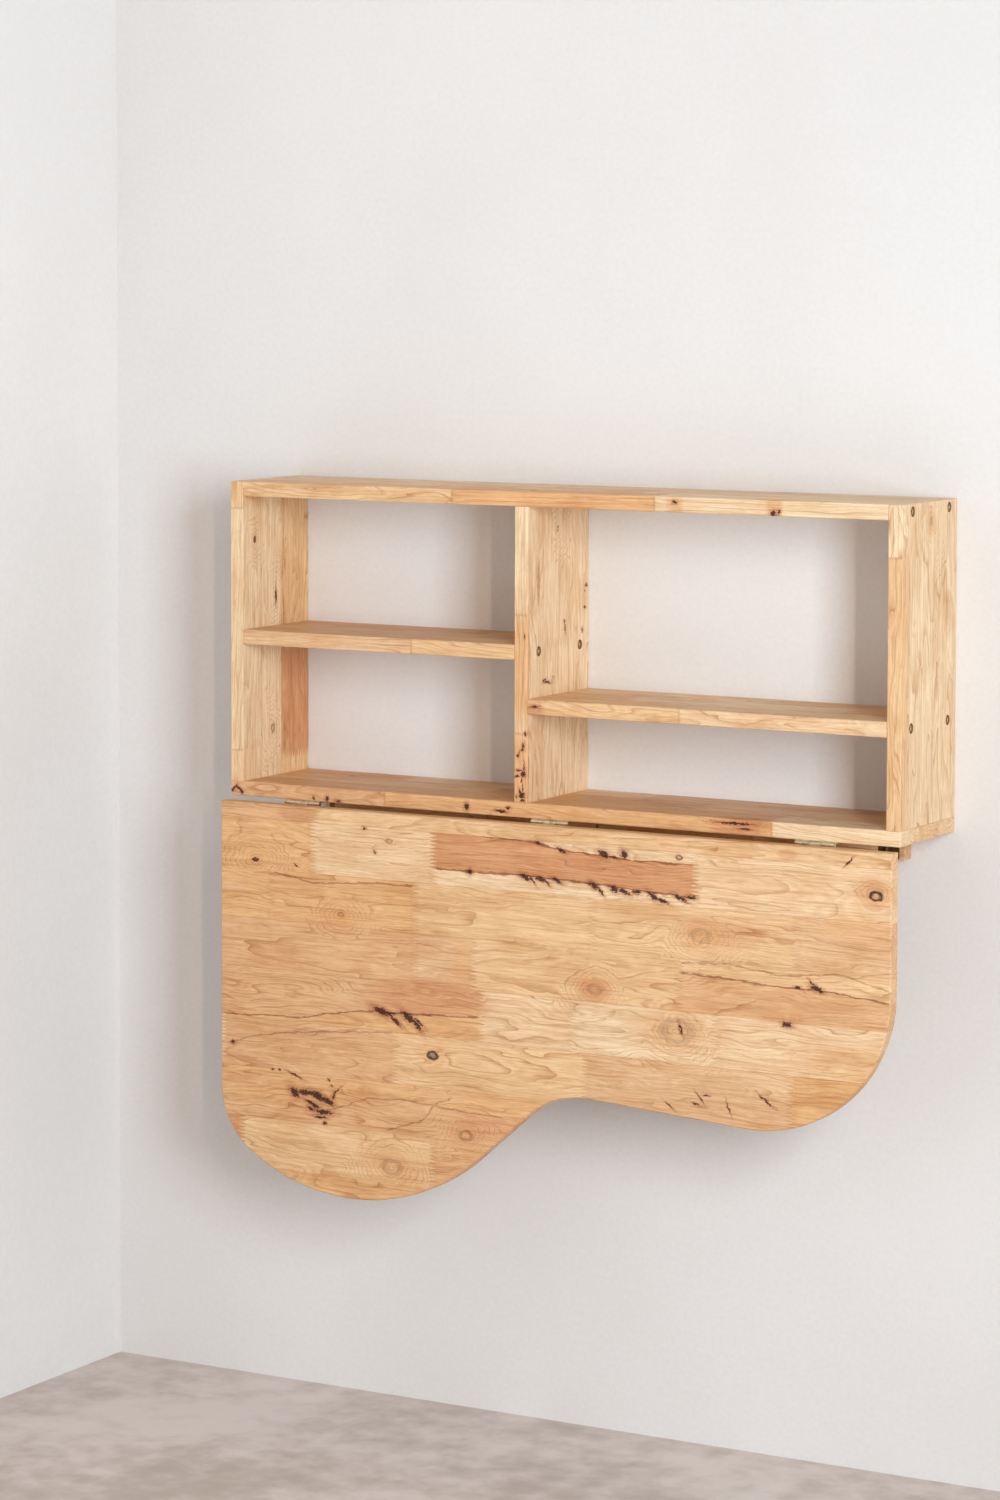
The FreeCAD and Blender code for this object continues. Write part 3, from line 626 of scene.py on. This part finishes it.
brass = plated("brass_plate", (0.82, 0.70, 0.48), (0.60, 0.49, 0.31), 0.34, 0.35)
SOCKET_HEAD = [(4.1, 0.0, False), (4.1, 2.2, False), (3.95, 2.5, False), (3.7, 2.6, False),
               (3.2, 2.6, False), (3.0, 2.45, False), (2.3, 2.45, True), (2.15, 2.2, True),
               (2.15, 0.1, True)]
SUNK = 4.0                  # depth of the recesses
UNDERSIDE = 17.5            # of the bottom board
front, back, under_back = FRONT_SCREWS - UNIT_DEPTH, BACK_SCREWS - UNIT_DEPTH, -34.0
heads = [((face - SUNK * out, y, z), (out, 0, 0))
         for face, out, heights in (
             (-UNIT_HALF, -1, (TOP_BOARD_Z, LEFT_SHELF_Z)),
             (UNIT_HALF, 1, (TOP_BOARD_Z, RIGHT_SHELF_Z)),
             (DIVIDER_X + HALF_BOARD, 1, (LEFT_SHELF_Z,)),
             (DIVIDER_X - HALF_BOARD, -1, (RIGHT_SHELF_Z,)))
         for z in heights for y in (front, back)]
heads += [((DIVIDER_X, y, UNIT_TOP - SUNK), (0, 0, 1)) for y in (front, back)]
heads += [((x, y, UNDERSIDE + SUNK), (0, 0, -1))
          for x in (-PANEL_X, DIVIDER_X, PANEL_X) for y in (front, under_back)]
turned_heads("connecting_screws", SOCKET_HEAD, hexagon, heads, "cabinet", brass)
CROSS_HEAD = [(4.2, 0.0, False), (4.2, 0.5, False), (3.9, 1.3, False), (3.1, 2.0, False),
              (2.3, 2.3, True), (1.9, 1.9, True), (0.9, 0.7, True)]
for name, spots in (("batten_screws", [(x, -9.0, -8.5) for x in (-350.0, 0.0, 350.0)]),
                    ("bracket_screws", [(x, -12.0, 384.0) for x in (-67.0, 415.0)])):
    turned_heads(name, CROSS_HEAD, cross, [(spot, (0, 0, -1)) for spot in spots], "cabinet", zinc)

# ---- desk leaf -------------------------------------------------------------------------------
# The desk top, hanging: nine rows of staves edge-glued together, the first and the last of them
# narrower, and cut to a wavy outline. The staves run from pale sapwood to reddish heart, with
# bark pockets along the natural edges.

FACE = -9.0                 # the face that shows, from the middle of the thickness
leaf_rows = [
    (-40.0, [("brown", 137.0), ("honey", None)]),
    (18.0, [("golden", 132.0), ("cream", 303.0), ("reddish", 652.0), ("cream", None)]),
    (80.0, [("golden", 74.0), ("golden", 277.0), ("honey", 518.0), ("honey", 782.0),
            ("pinkish", None)]),
    (141.0, [("brown", 277.0), ("pinkish", 357.0), ("honey", 632.0), ("honey", None)]),
    (202.0, [("brown", 368.0), ("cream", 492.0), ("pale", 680.0), ("cream", None)]),
    (263.0, [("cream", 5.0), ("brown", 248.0), ("honey", 510.0), ("pinkish", 777.0),
             ("golden", None)]),
    (325.0, [("brown", None)]),
    (386.0, [("reddish", 30.0), ("honey", 303.0), ("brown", None)]),
    (447.0, [("golden", None)]),
]
leaf_seams = [
    (4, [(303, 16), (441, 20), (477, 26), (535, 29), (572, 32), (652, 31)], "pale", -1, 0.75),
    (4, [(303, 61), (432, 60), (522, 63), (557, 65), (600, 67), (652, 69)], "pale", 1, 0.75),
    (7, [(74, 82), (135, 92), (220, 85), (277, 86)], None, 1, 0.6),
    (14, [(632, 157), (690, 158), (740, 162), (830, 163), (900, 170)], "brown", 1, 0.75),
    (14, [(632, 145), (700, 142), (760, 150), (840, 142), (900, 156)], None, 1, 0.5),
    (15, [(0, 262), (115, 258), (150, 250), (215, 240), (300, 238), (368, 234)], "golden", 1, 0.7),
    (20, [(8, 299), (60, 283), (120, 275), (248, 263)], None, 1, 0.5),
    (24, [(150, 368), (165, 365), (210, 347), (260, 344), (400, 352)], "golden", -1, 0.45),
    (24, [(235, 384), (290, 365), (305, 345), (330, 333)], None, 1, 0.5),
]
leaf_knots = [
    (50, 69, 3.0, 0.9, 0.9), (241, 33, 3.4, 0.5, 0.1), (632, 24, 3.2, 0.75, 0.3),
    (881, 49, 5.6, 0.95, 0.0), (522, 187, 7.0, 0.25, 0.1), (630, 226, 15.0, 0.2, 0.0),
    (302, 286, 5.4, 0.95, 0.5), (660, 112, 9.0, 0.2, 0.05), (173, 127, 3.0, 0.4, 0.1),
    (245, 427, 10.0, 0.25, 0.0), (348, 378, 7.0, 0.35, 0.0),
]
leaf_pockets = [(u, v, FACE, long, wide, 4.0, turn) for u, v, long, wide, turn in (
    (206, 20, 2.6, 1.6, 0), (221, 48, 2.2, 1.4, 35), (109, 72, 3.0, 0.9, 20),
    (847, 13, 7.0, 1.0, -45), (353, 62, 3.4, 3.4, 35), (429, 62, 7.0, 3.0, 20),
    (438, 65, 6.0, 1.4, 50), (450, 63, 8.0, 2.4, 20), (458, 66, 5.0, 1.4, 50),
    (471, 63, 7.0, 2.2, 20), (520, 65, 6.0, 3.4, 35), (529, 71, 6.0, 1.8, 50),
    (547, 67, 6.0, 3.2, 20), (560, 69, 8.0, 2.8, 20), (577, 68, 5.5, 2.6, 0),
    (598, 71, 8.0, 2.8, 35), (611, 76, 8.0, 1.8, 20), (634, 71, 9.0, 2.2, 20),
    (648, 69, 6.0, 2.2, 0), (446, 20, 4.0, 1.8, 0), (478, 27, 6.0, 2.2, 20),
    (533, 27, 7.0, 3.6, 20), (560, 25, 5.0, 4.0, 50), (545, 30, 6.0, 1.2, 20),
    (784, 161, 4.0, 1.5, 0), (808, 161, 8.0, 2.8, 20), (801, 154, 5.0, 1.2, 50),
    (230, 239, 12.0, 4.0, 20), (249, 248, 11.0, 2.2, 35), (268, 243, 11.0, 4.2, 35),
    (280, 252, 9.0, 3.0, 50), (240, 241, 9.0, 1.6, 0), (283, 248, 8.0, 1.4, 35),
    (635, 223, 6.5, 1.5, 70), (771, 205, 6.0, 3.0, 0), (17, 297, 3.0, 1.8, 0),
    (660, 300, 7.0, 0.9, 50), (655, 308, 4.0, 0.9, 20), (668, 297, 4.0, 0.9, 0),
    (697, 308, 7.0, 0.9, 70), (620, 313, 6.0, 0.9, 35), (745, 295, 10.0, 1.2, 35),
    (75, 325, 1.5, 1.2, 0), (85, 325, 1.5, 1.2, 0), (107, 329, 11.0, 1.1, 20),
    (156, 330, 1.6, 1.2, 0), (160, 337, 1.6, 1.2, 0), (166, 344, 9.0, 0.9, -45),
    (107, 350, 7.5, 4.6, 35), (124, 349, 13.0, 3.0, 0), (141, 352, 12.0, 4.2, 20),
    (155, 357, 8.0, 3.2, 20), (132, 362, 12.0, 2.4, 20), (148, 370, 13.0, 2.8, 0),
    (130, 368, 5.0, 2.0, 35), (144, 377, 9.0, 1.4, 0), (150, 384, 2.4, 2.2, 0),
    (163, 349, 1.6, 5.0, 20))]
leaf_patches = [
    (110, 9, 32, 12, "rust", 0.55), (300, 218, 92, 30, "reddish", 0.8),
    (186, 225, 28, 30, "pinkish", 0.6), (790, 172, 110, 12, "reddish", 0.6),
    (342, 170, 16, 34, "amber", 0.6), (522, 187, 26, 16, "reddish", 0.6),
    (630, 228, 40, 30, "cream", 0.5), (697, 102, 80, 18, "reddish", 0.3),
    (872, 46, 26, 22, "brown", 0.5), (130, 360, 40, 16, "rust", 0.45),
    (20, 105, 26, 9, "pinkish", 0.6), (770, 10, 14, 8, "rust", 0.45),
    (385, 352, 60, 28, "reddish", 0.6), (857, 88, 50, 22, "amber", 0.6),
    (862, 245, 70, 24, "golden", 0.7),
]
Rubberwood("leaf_wood", ("X", "-Z", (UNIT_HALF, 13.0, 163.5)), leaf_rows, 9, leaf_knots,
           leaf_pockets, leaf_seams, leaf_patches).on(nodes["desk_leaf"])

# ---- leaf hinges -----------------------------------------------------------------------------
# Three butt hinges of plated brass: one flap under the bottom board, one on the leaf's hidden
# face, and a loose pin through three knuckles. Three countersunk screws hold each flap.

hinge_metal = plated("hinge_plate", (0.86, 0.80, 0.68), (0.70, 0.62, 0.50), 0.30, 0.5)
HINGE_Y, HINGE_Z = -151.5, 14.5             # axis of the pins
BOARD_FLAP_Z, LEAF_FLAP_Y = 16.0, -153.0    # the flaps' faces that the screws are sunk in
COUNTERSUNK = [(2.9, -0.4, False), (2.9, 0.05, False), (2.6, 0.3, False), (1.7, 0.42, False),
               (1.5, 0.40, True), (1.2, 0.2, True), (0.5, -0.3, True)]
board_side, leaf_side = [], []
for name, x in (("left", -345.0), ("middle", 0.0), ("right", 345.0)):
    hinge_metal.on(*[nodes[name + "_hinge_" + part]
                     for part in ("board_flap", "leaf_flap", "pin")])
    for along, reach in ((-17.0, 11.0), (0.0, 15.0), (17.0, 11.0)):
        board_side.append(((x + along, HINGE_Y + reach, BOARD_FLAP_Z), (0, 0, -1)))
        leaf_side.append(((x + along, LEAF_FLAP_Y, HINGE_Z - reach), (0, 1, 0)))
turned_heads("board_flap_screws", COUNTERSUNK, cross, board_side, "cabinet", hinge_metal, 32)
turned_heads("leaf_flap_screws", COUNTERSUNK, cross, leaf_side, "leaf", hinge_metal, 32)

# ---- swing arms ------------------------------------------------------------------------------
# Two planed laths, hinged to the batten's ends behind the leaf. They swing out under the raised
# leaf and carry it on round rubber feet.

browned = plated("browned_brass", (0.46, 0.38, 0.28), (0.30, 0.24, 0.18), 0.38, 0.5)
FLAP_SCREWS_Z = (-11.0, 3.0)
BATTEN_FLAP_X, BATTEN_FLAP_Y = 382.6, -19.2     # the screws in the right arm's two flaps
ARM_FLAP_X, ARM_FLAP_Y = 371.5, -30.3
for side, seed, out in (("left", 10, -1), ("right", 11, 1)):
    arm = side + "_arm"
    Rubberwood(arm + "_wood", along_x(-4.0),
               [(80.0, [("golden", 300.0), ("amber", 660.0), ("honey", None)])],
               seed).on(nodes[arm])
    browned.on(*[nodes[arm + "_hinge_" + part] for part in ("batten_flap", "arm_flap", "pin")])
    turned_heads(side + "_batten_flap_screws", COUNTERSUNK, cross,
                 [((out * BATTEN_FLAP_X, BATTEN_FLAP_Y, z), (0, -1, 0)) for z in FLAP_SCREWS_Z],
                 "cabinet", browned, 32)
    turned_heads(arm + "_flap_screws", COUNTERSUNK, cross,
                 [((out * ARM_FLAP_X, ARM_FLAP_Y, z), (out, 0, 0)) for z in FLAP_SCREWS_Z],
                 side + "_swing_arm", browned, 32)

rubber = Finish("foot_rubber")
grit = rubber.noise(rubber.place, 0.0006, 3.0)
rubber.put(rubber.shader.inputs["Base Color"], rubber.blend(
    grit, colour(0.16, 0.155, 0.15), colour(0.25, 0.245, 0.24)))
rubber.put(rubber.shader.inputs["Roughness"], rubber.calc("MULTIPLY_ADD", grit, 0.2, 0.55))
rubber.relief(grit, 0.3, 0.0001)
FOOT = [(7.6, 0.0, False), (8.0, 0.4, False), (7.7, 5.8, False), (7.2, 7.0, False),
        (6.4, 7.5, False), (5.0, 7.5, False), (4.2, 7.1, False), (3.8, 5.6, False),
        (3.6, 3.6, False)]
FOOT_SCREW = [(3.3, 3.4, False), (3.2, 4.0, False), (2.6, 4.7, False), (1.5, 5.0, True),
              (0.6, 4.1, True)]
for side, x in (("left", -27.5), ("right", 27.5)):
    standing = [((x, -28.0, 9.5), (0, 0, 1))]
    foot = turned_heads(side + "_foot", FOOT, cross, standing, side + "_swing_arm", rubber)
    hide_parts(side + "_arm_foot")
    turned_heads(side + "_foot_screw", FOOT_SCREW, cross, standing, side + "_swing_arm", zinc, 32)

# ---- room ------------------------------------------------------------------------------------
# A plastered back wall at y = 0, the wall beside it and a pale concrete floor. Seen from behind
# they let the view through. Behind each board that touches it the back wall is open, so that the
# boards' back edges are lit when the desk is seen from behind.

SIDE_WALL_X, FAR_X, FLOOR_Z, CEILING_Z, FRONT_Y = -0.723, 4.0, -0.747, 3.0, -5.5
WALL_Y = 0.0004             # a hair behind the boards' back edges
INSET = 0.0005              # by which an opening is smaller than its board
PLASTER = ((0.895, 0.890, 0.890), (0.875, 0.868, 0.866))
CONCRETE = ((0.88, 0.84, 0.82), (0.75, 0.70, 0.67))


def wall_with_openings(openings):
    """Corners and faces of the back wall: the grid of all the openings' edges, without the cells
    whose middle lies inside an opening (x from, x to, z from, z to)."""
    x = np.unique([SIDE_WALL_X, FAR_X] + [edge for o in openings for edge in o[:2]])
    z = np.unique([FLOOR_Z, CEILING_Z] + [edge for o in openings for edge in o[2:]])
    corner = np.stack([*np.meshgrid(x, [WALL_Y], z, indexing="ij")], -1).reshape(-1, 3)
    column, row = np.meshgrid(np.arange(len(x) - 1), np.arange(len(z) - 1), indexing="ij")
    first = (column * len(z) + row).reshape(-1)
    cells = np.stack([first, first + len(z), first + len(z) + 1, first + 1], -1)
    middle = corner[cells].mean(1)
    shut = np.ones(len(cells), bool)
    for x_from, x_to, z_from, z_to in openings:
        shut &= ~((middle[:, 0] > x_from) & (middle[:, 0] < x_to)
                  & (middle[:, 2] > z_from) & (middle[:, 2] < z_to))
    return corner.tolist(), cells[shut].tolist()


def room_side(name, corners, tints, grain_size, relief, faces=((0, 1, 2, 3),)):
    """A flat side of the room, from corners and faces: fine lumps and wide faint stains take it
    from the first of its tints to the second. It is clear where it is seen from behind."""
    mesh = bpy.data.meshes.new(name)
    mesh.from_pydata(corners, [], faces)
    side = bpy.data.objects.new(name, mesh)
    bpy.context.scene.collection.objects.link(side)
    f = Finish(name)
    lumps = f.noise(f.place, grain_size, 5.0, 0.6)
    stain = f.noise(f.place, 0.35, 3.0)
    mean = f.calc("ADD", f.calc("MULTIPLY", stain, 0.5), f.calc("MULTIPLY", lumps, 0.5))
    shade = f.blend(f.ease(mean, 0.35, 0.65), *[colour(*tint) for tint in tints])
    f.put(f.shader.inputs["Base Color"], shade)
    f.shader.inputs["Roughness"].default_value = 0.9
    f.shader.inputs["Specular IOR Level"].default_value = 0.15
    f.relief(lumps, relief, 0.001)
    clear = f.add("BsdfTransparent").outputs[0]
    behind = f.add("NewGeometry").outputs["Backfacing"]
    shown = f.add("MixShader", {0: behind, 1: f.shader.outputs[0], 2: clear}).outputs[0]
    f.put(f.tree.nodes["Material Output"].inputs["Surface"], shown)
    f.on(side)


behind_boards = []
for board in ("wall_batten", "bottom_board", "left_side_panel", "right_side_panel",
              "divider_panel", "top_board", "left_shelf", "right_shelf", "left_wall_bracket",
              "right_wall_bracket"):
    low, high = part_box(board)
    behind_boards.append((low[0] + INSET, high[0] - INSET, low[2] + INSET, high[2] - INSET))
corners, faces = wall_with_openings(behind_boards)
room_side("back_wall", corners, PLASTER, 0.006, 0.35, faces)
room_side("side_wall", [(SIDE_WALL_X, FRONT_Y, FLOOR_Z), (SIDE_WALL_X, WALL_Y, FLOOR_Z),
                        (SIDE_WALL_X, WALL_Y, CEILING_Z), (SIDE_WALL_X, FRONT_Y, CEILING_Z)],
          PLASTER, 0.006, 0.3)
room_side("floor", [(SIDE_WALL_X, FRONT_Y, FLOOR_Z), (FAR_X, FRONT_Y, FLOOR_Z),
                    (FAR_X, WALL_Y, FLOOR_Z), (SIDE_WALL_X, WALL_Y, FLOOR_Z)],
          CONCRETE, 0.05, 0.4)

# ---- light and camera ------------------------------------------------------------------------
# A tall soft window of light on the right, a distant narrow one, which draws the upright edges of
# the shadows in the bays, and an even warm surround. The camera and everything that reflects see
# a pale backdrop in place of the surround.

world = bpy.data.worlds.new("studio")
bpy.context.scene.world = world
world.use_nodes = True
sky = world.node_tree
surround = sky.nodes["Background"]
surround.inputs["Color"].default_value = (1.0, 0.77, 0.58, 1.0)
surround.inputs["Strength"].default_value = 0.288
backdrop = sky.nodes.new("ShaderNodeBackground")
backdrop.inputs["Color"].default_value = colour(0.90, 0.89, 0.88)
rays = sky.nodes.new("ShaderNodeLightPath")
seen = rays.outputs["Is Camera Ray"]
for kind in ("Is Glossy Ray", "Is Transmission Ray"):
    either = sky.nodes.new("ShaderNodeMath")
    either.operation = "MAXIMUM"
    sky.links.new(seen, either.inputs[0])
    sky.links.new(rays.outputs[kind], either.inputs[1])
    seen = either.outputs[0]
mixed = sky.nodes.new("ShaderNodeMixShader")
for source, socket in ((seen, 0), (surround.outputs[0], 1), (backdrop.outputs[0], 2)):
    sky.links.new(source, mixed.inputs[socket])
sky.links.new(mixed.outputs[0], sky.nodes["World Output"].inputs["Surface"])


def lamp(name, place, aim, width, height, energy, tint):
    """A rectangle of light at a place, turned to face the point that it aims at."""
    data = bpy.data.lights.new(name, "AREA")
    data.shape, data.size, data.size_y = "RECTANGLE", width, height
    data.energy, data.color = energy, tint
    made = bpy.data.objects.new(name, data)
    bpy.context.scene.collection.objects.link(made)
    made.location = place
    made.rotation_euler = (Vector(place) - Vector(aim)).to_track_quat("Z", "Y").to_euler()
    made.visible_camera = False


lamp("window_light", place=(2.5, -2.5, 0.7), aim=(0.0, -2.5, 0.7), width=1.0, height=1.6,
     energy=134.0, tint=(0.78, 0.91, 1.0))
lamp("narrow_light", place=(7.12, -9.21, 2.90), aim=(0.0, 0.0, 0.0), width=0.2, height=7.0,
     energy=240.0, tint=(1.0, 0.75, 0.53))

CAMERA_PLACE = (2.426, -4.5006, 0.6959)
TO_THE_LEFT, DOWN, ROLL = 29.842, 3.462, 0.127      # degrees, from looking straight at the wall
camera = bpy.data.objects.new("camera", bpy.data.cameras.new("camera"))
bpy.context.scene.collection.objects.link(camera)
camera.matrix_world = (Matrix.Translation(CAMERA_PLACE)
                       @ Matrix.Rotation(math.radians(TO_THE_LEFT), 4, "Z")
                       @ Matrix.Rotation(math.radians(90.0 - DOWN), 4, "X")
                       @ Matrix.Rotation(math.radians(ROLL), 4, "Z"))
camera.data.sensor_width = 36.0
camera.data.lens = 102.25           # focal length in millimetres
camera.data.shift_y = -1 / 6
bpy.context.scene.camera = camera
bpy.context.scene.view_settings.view_transform = "Standard"
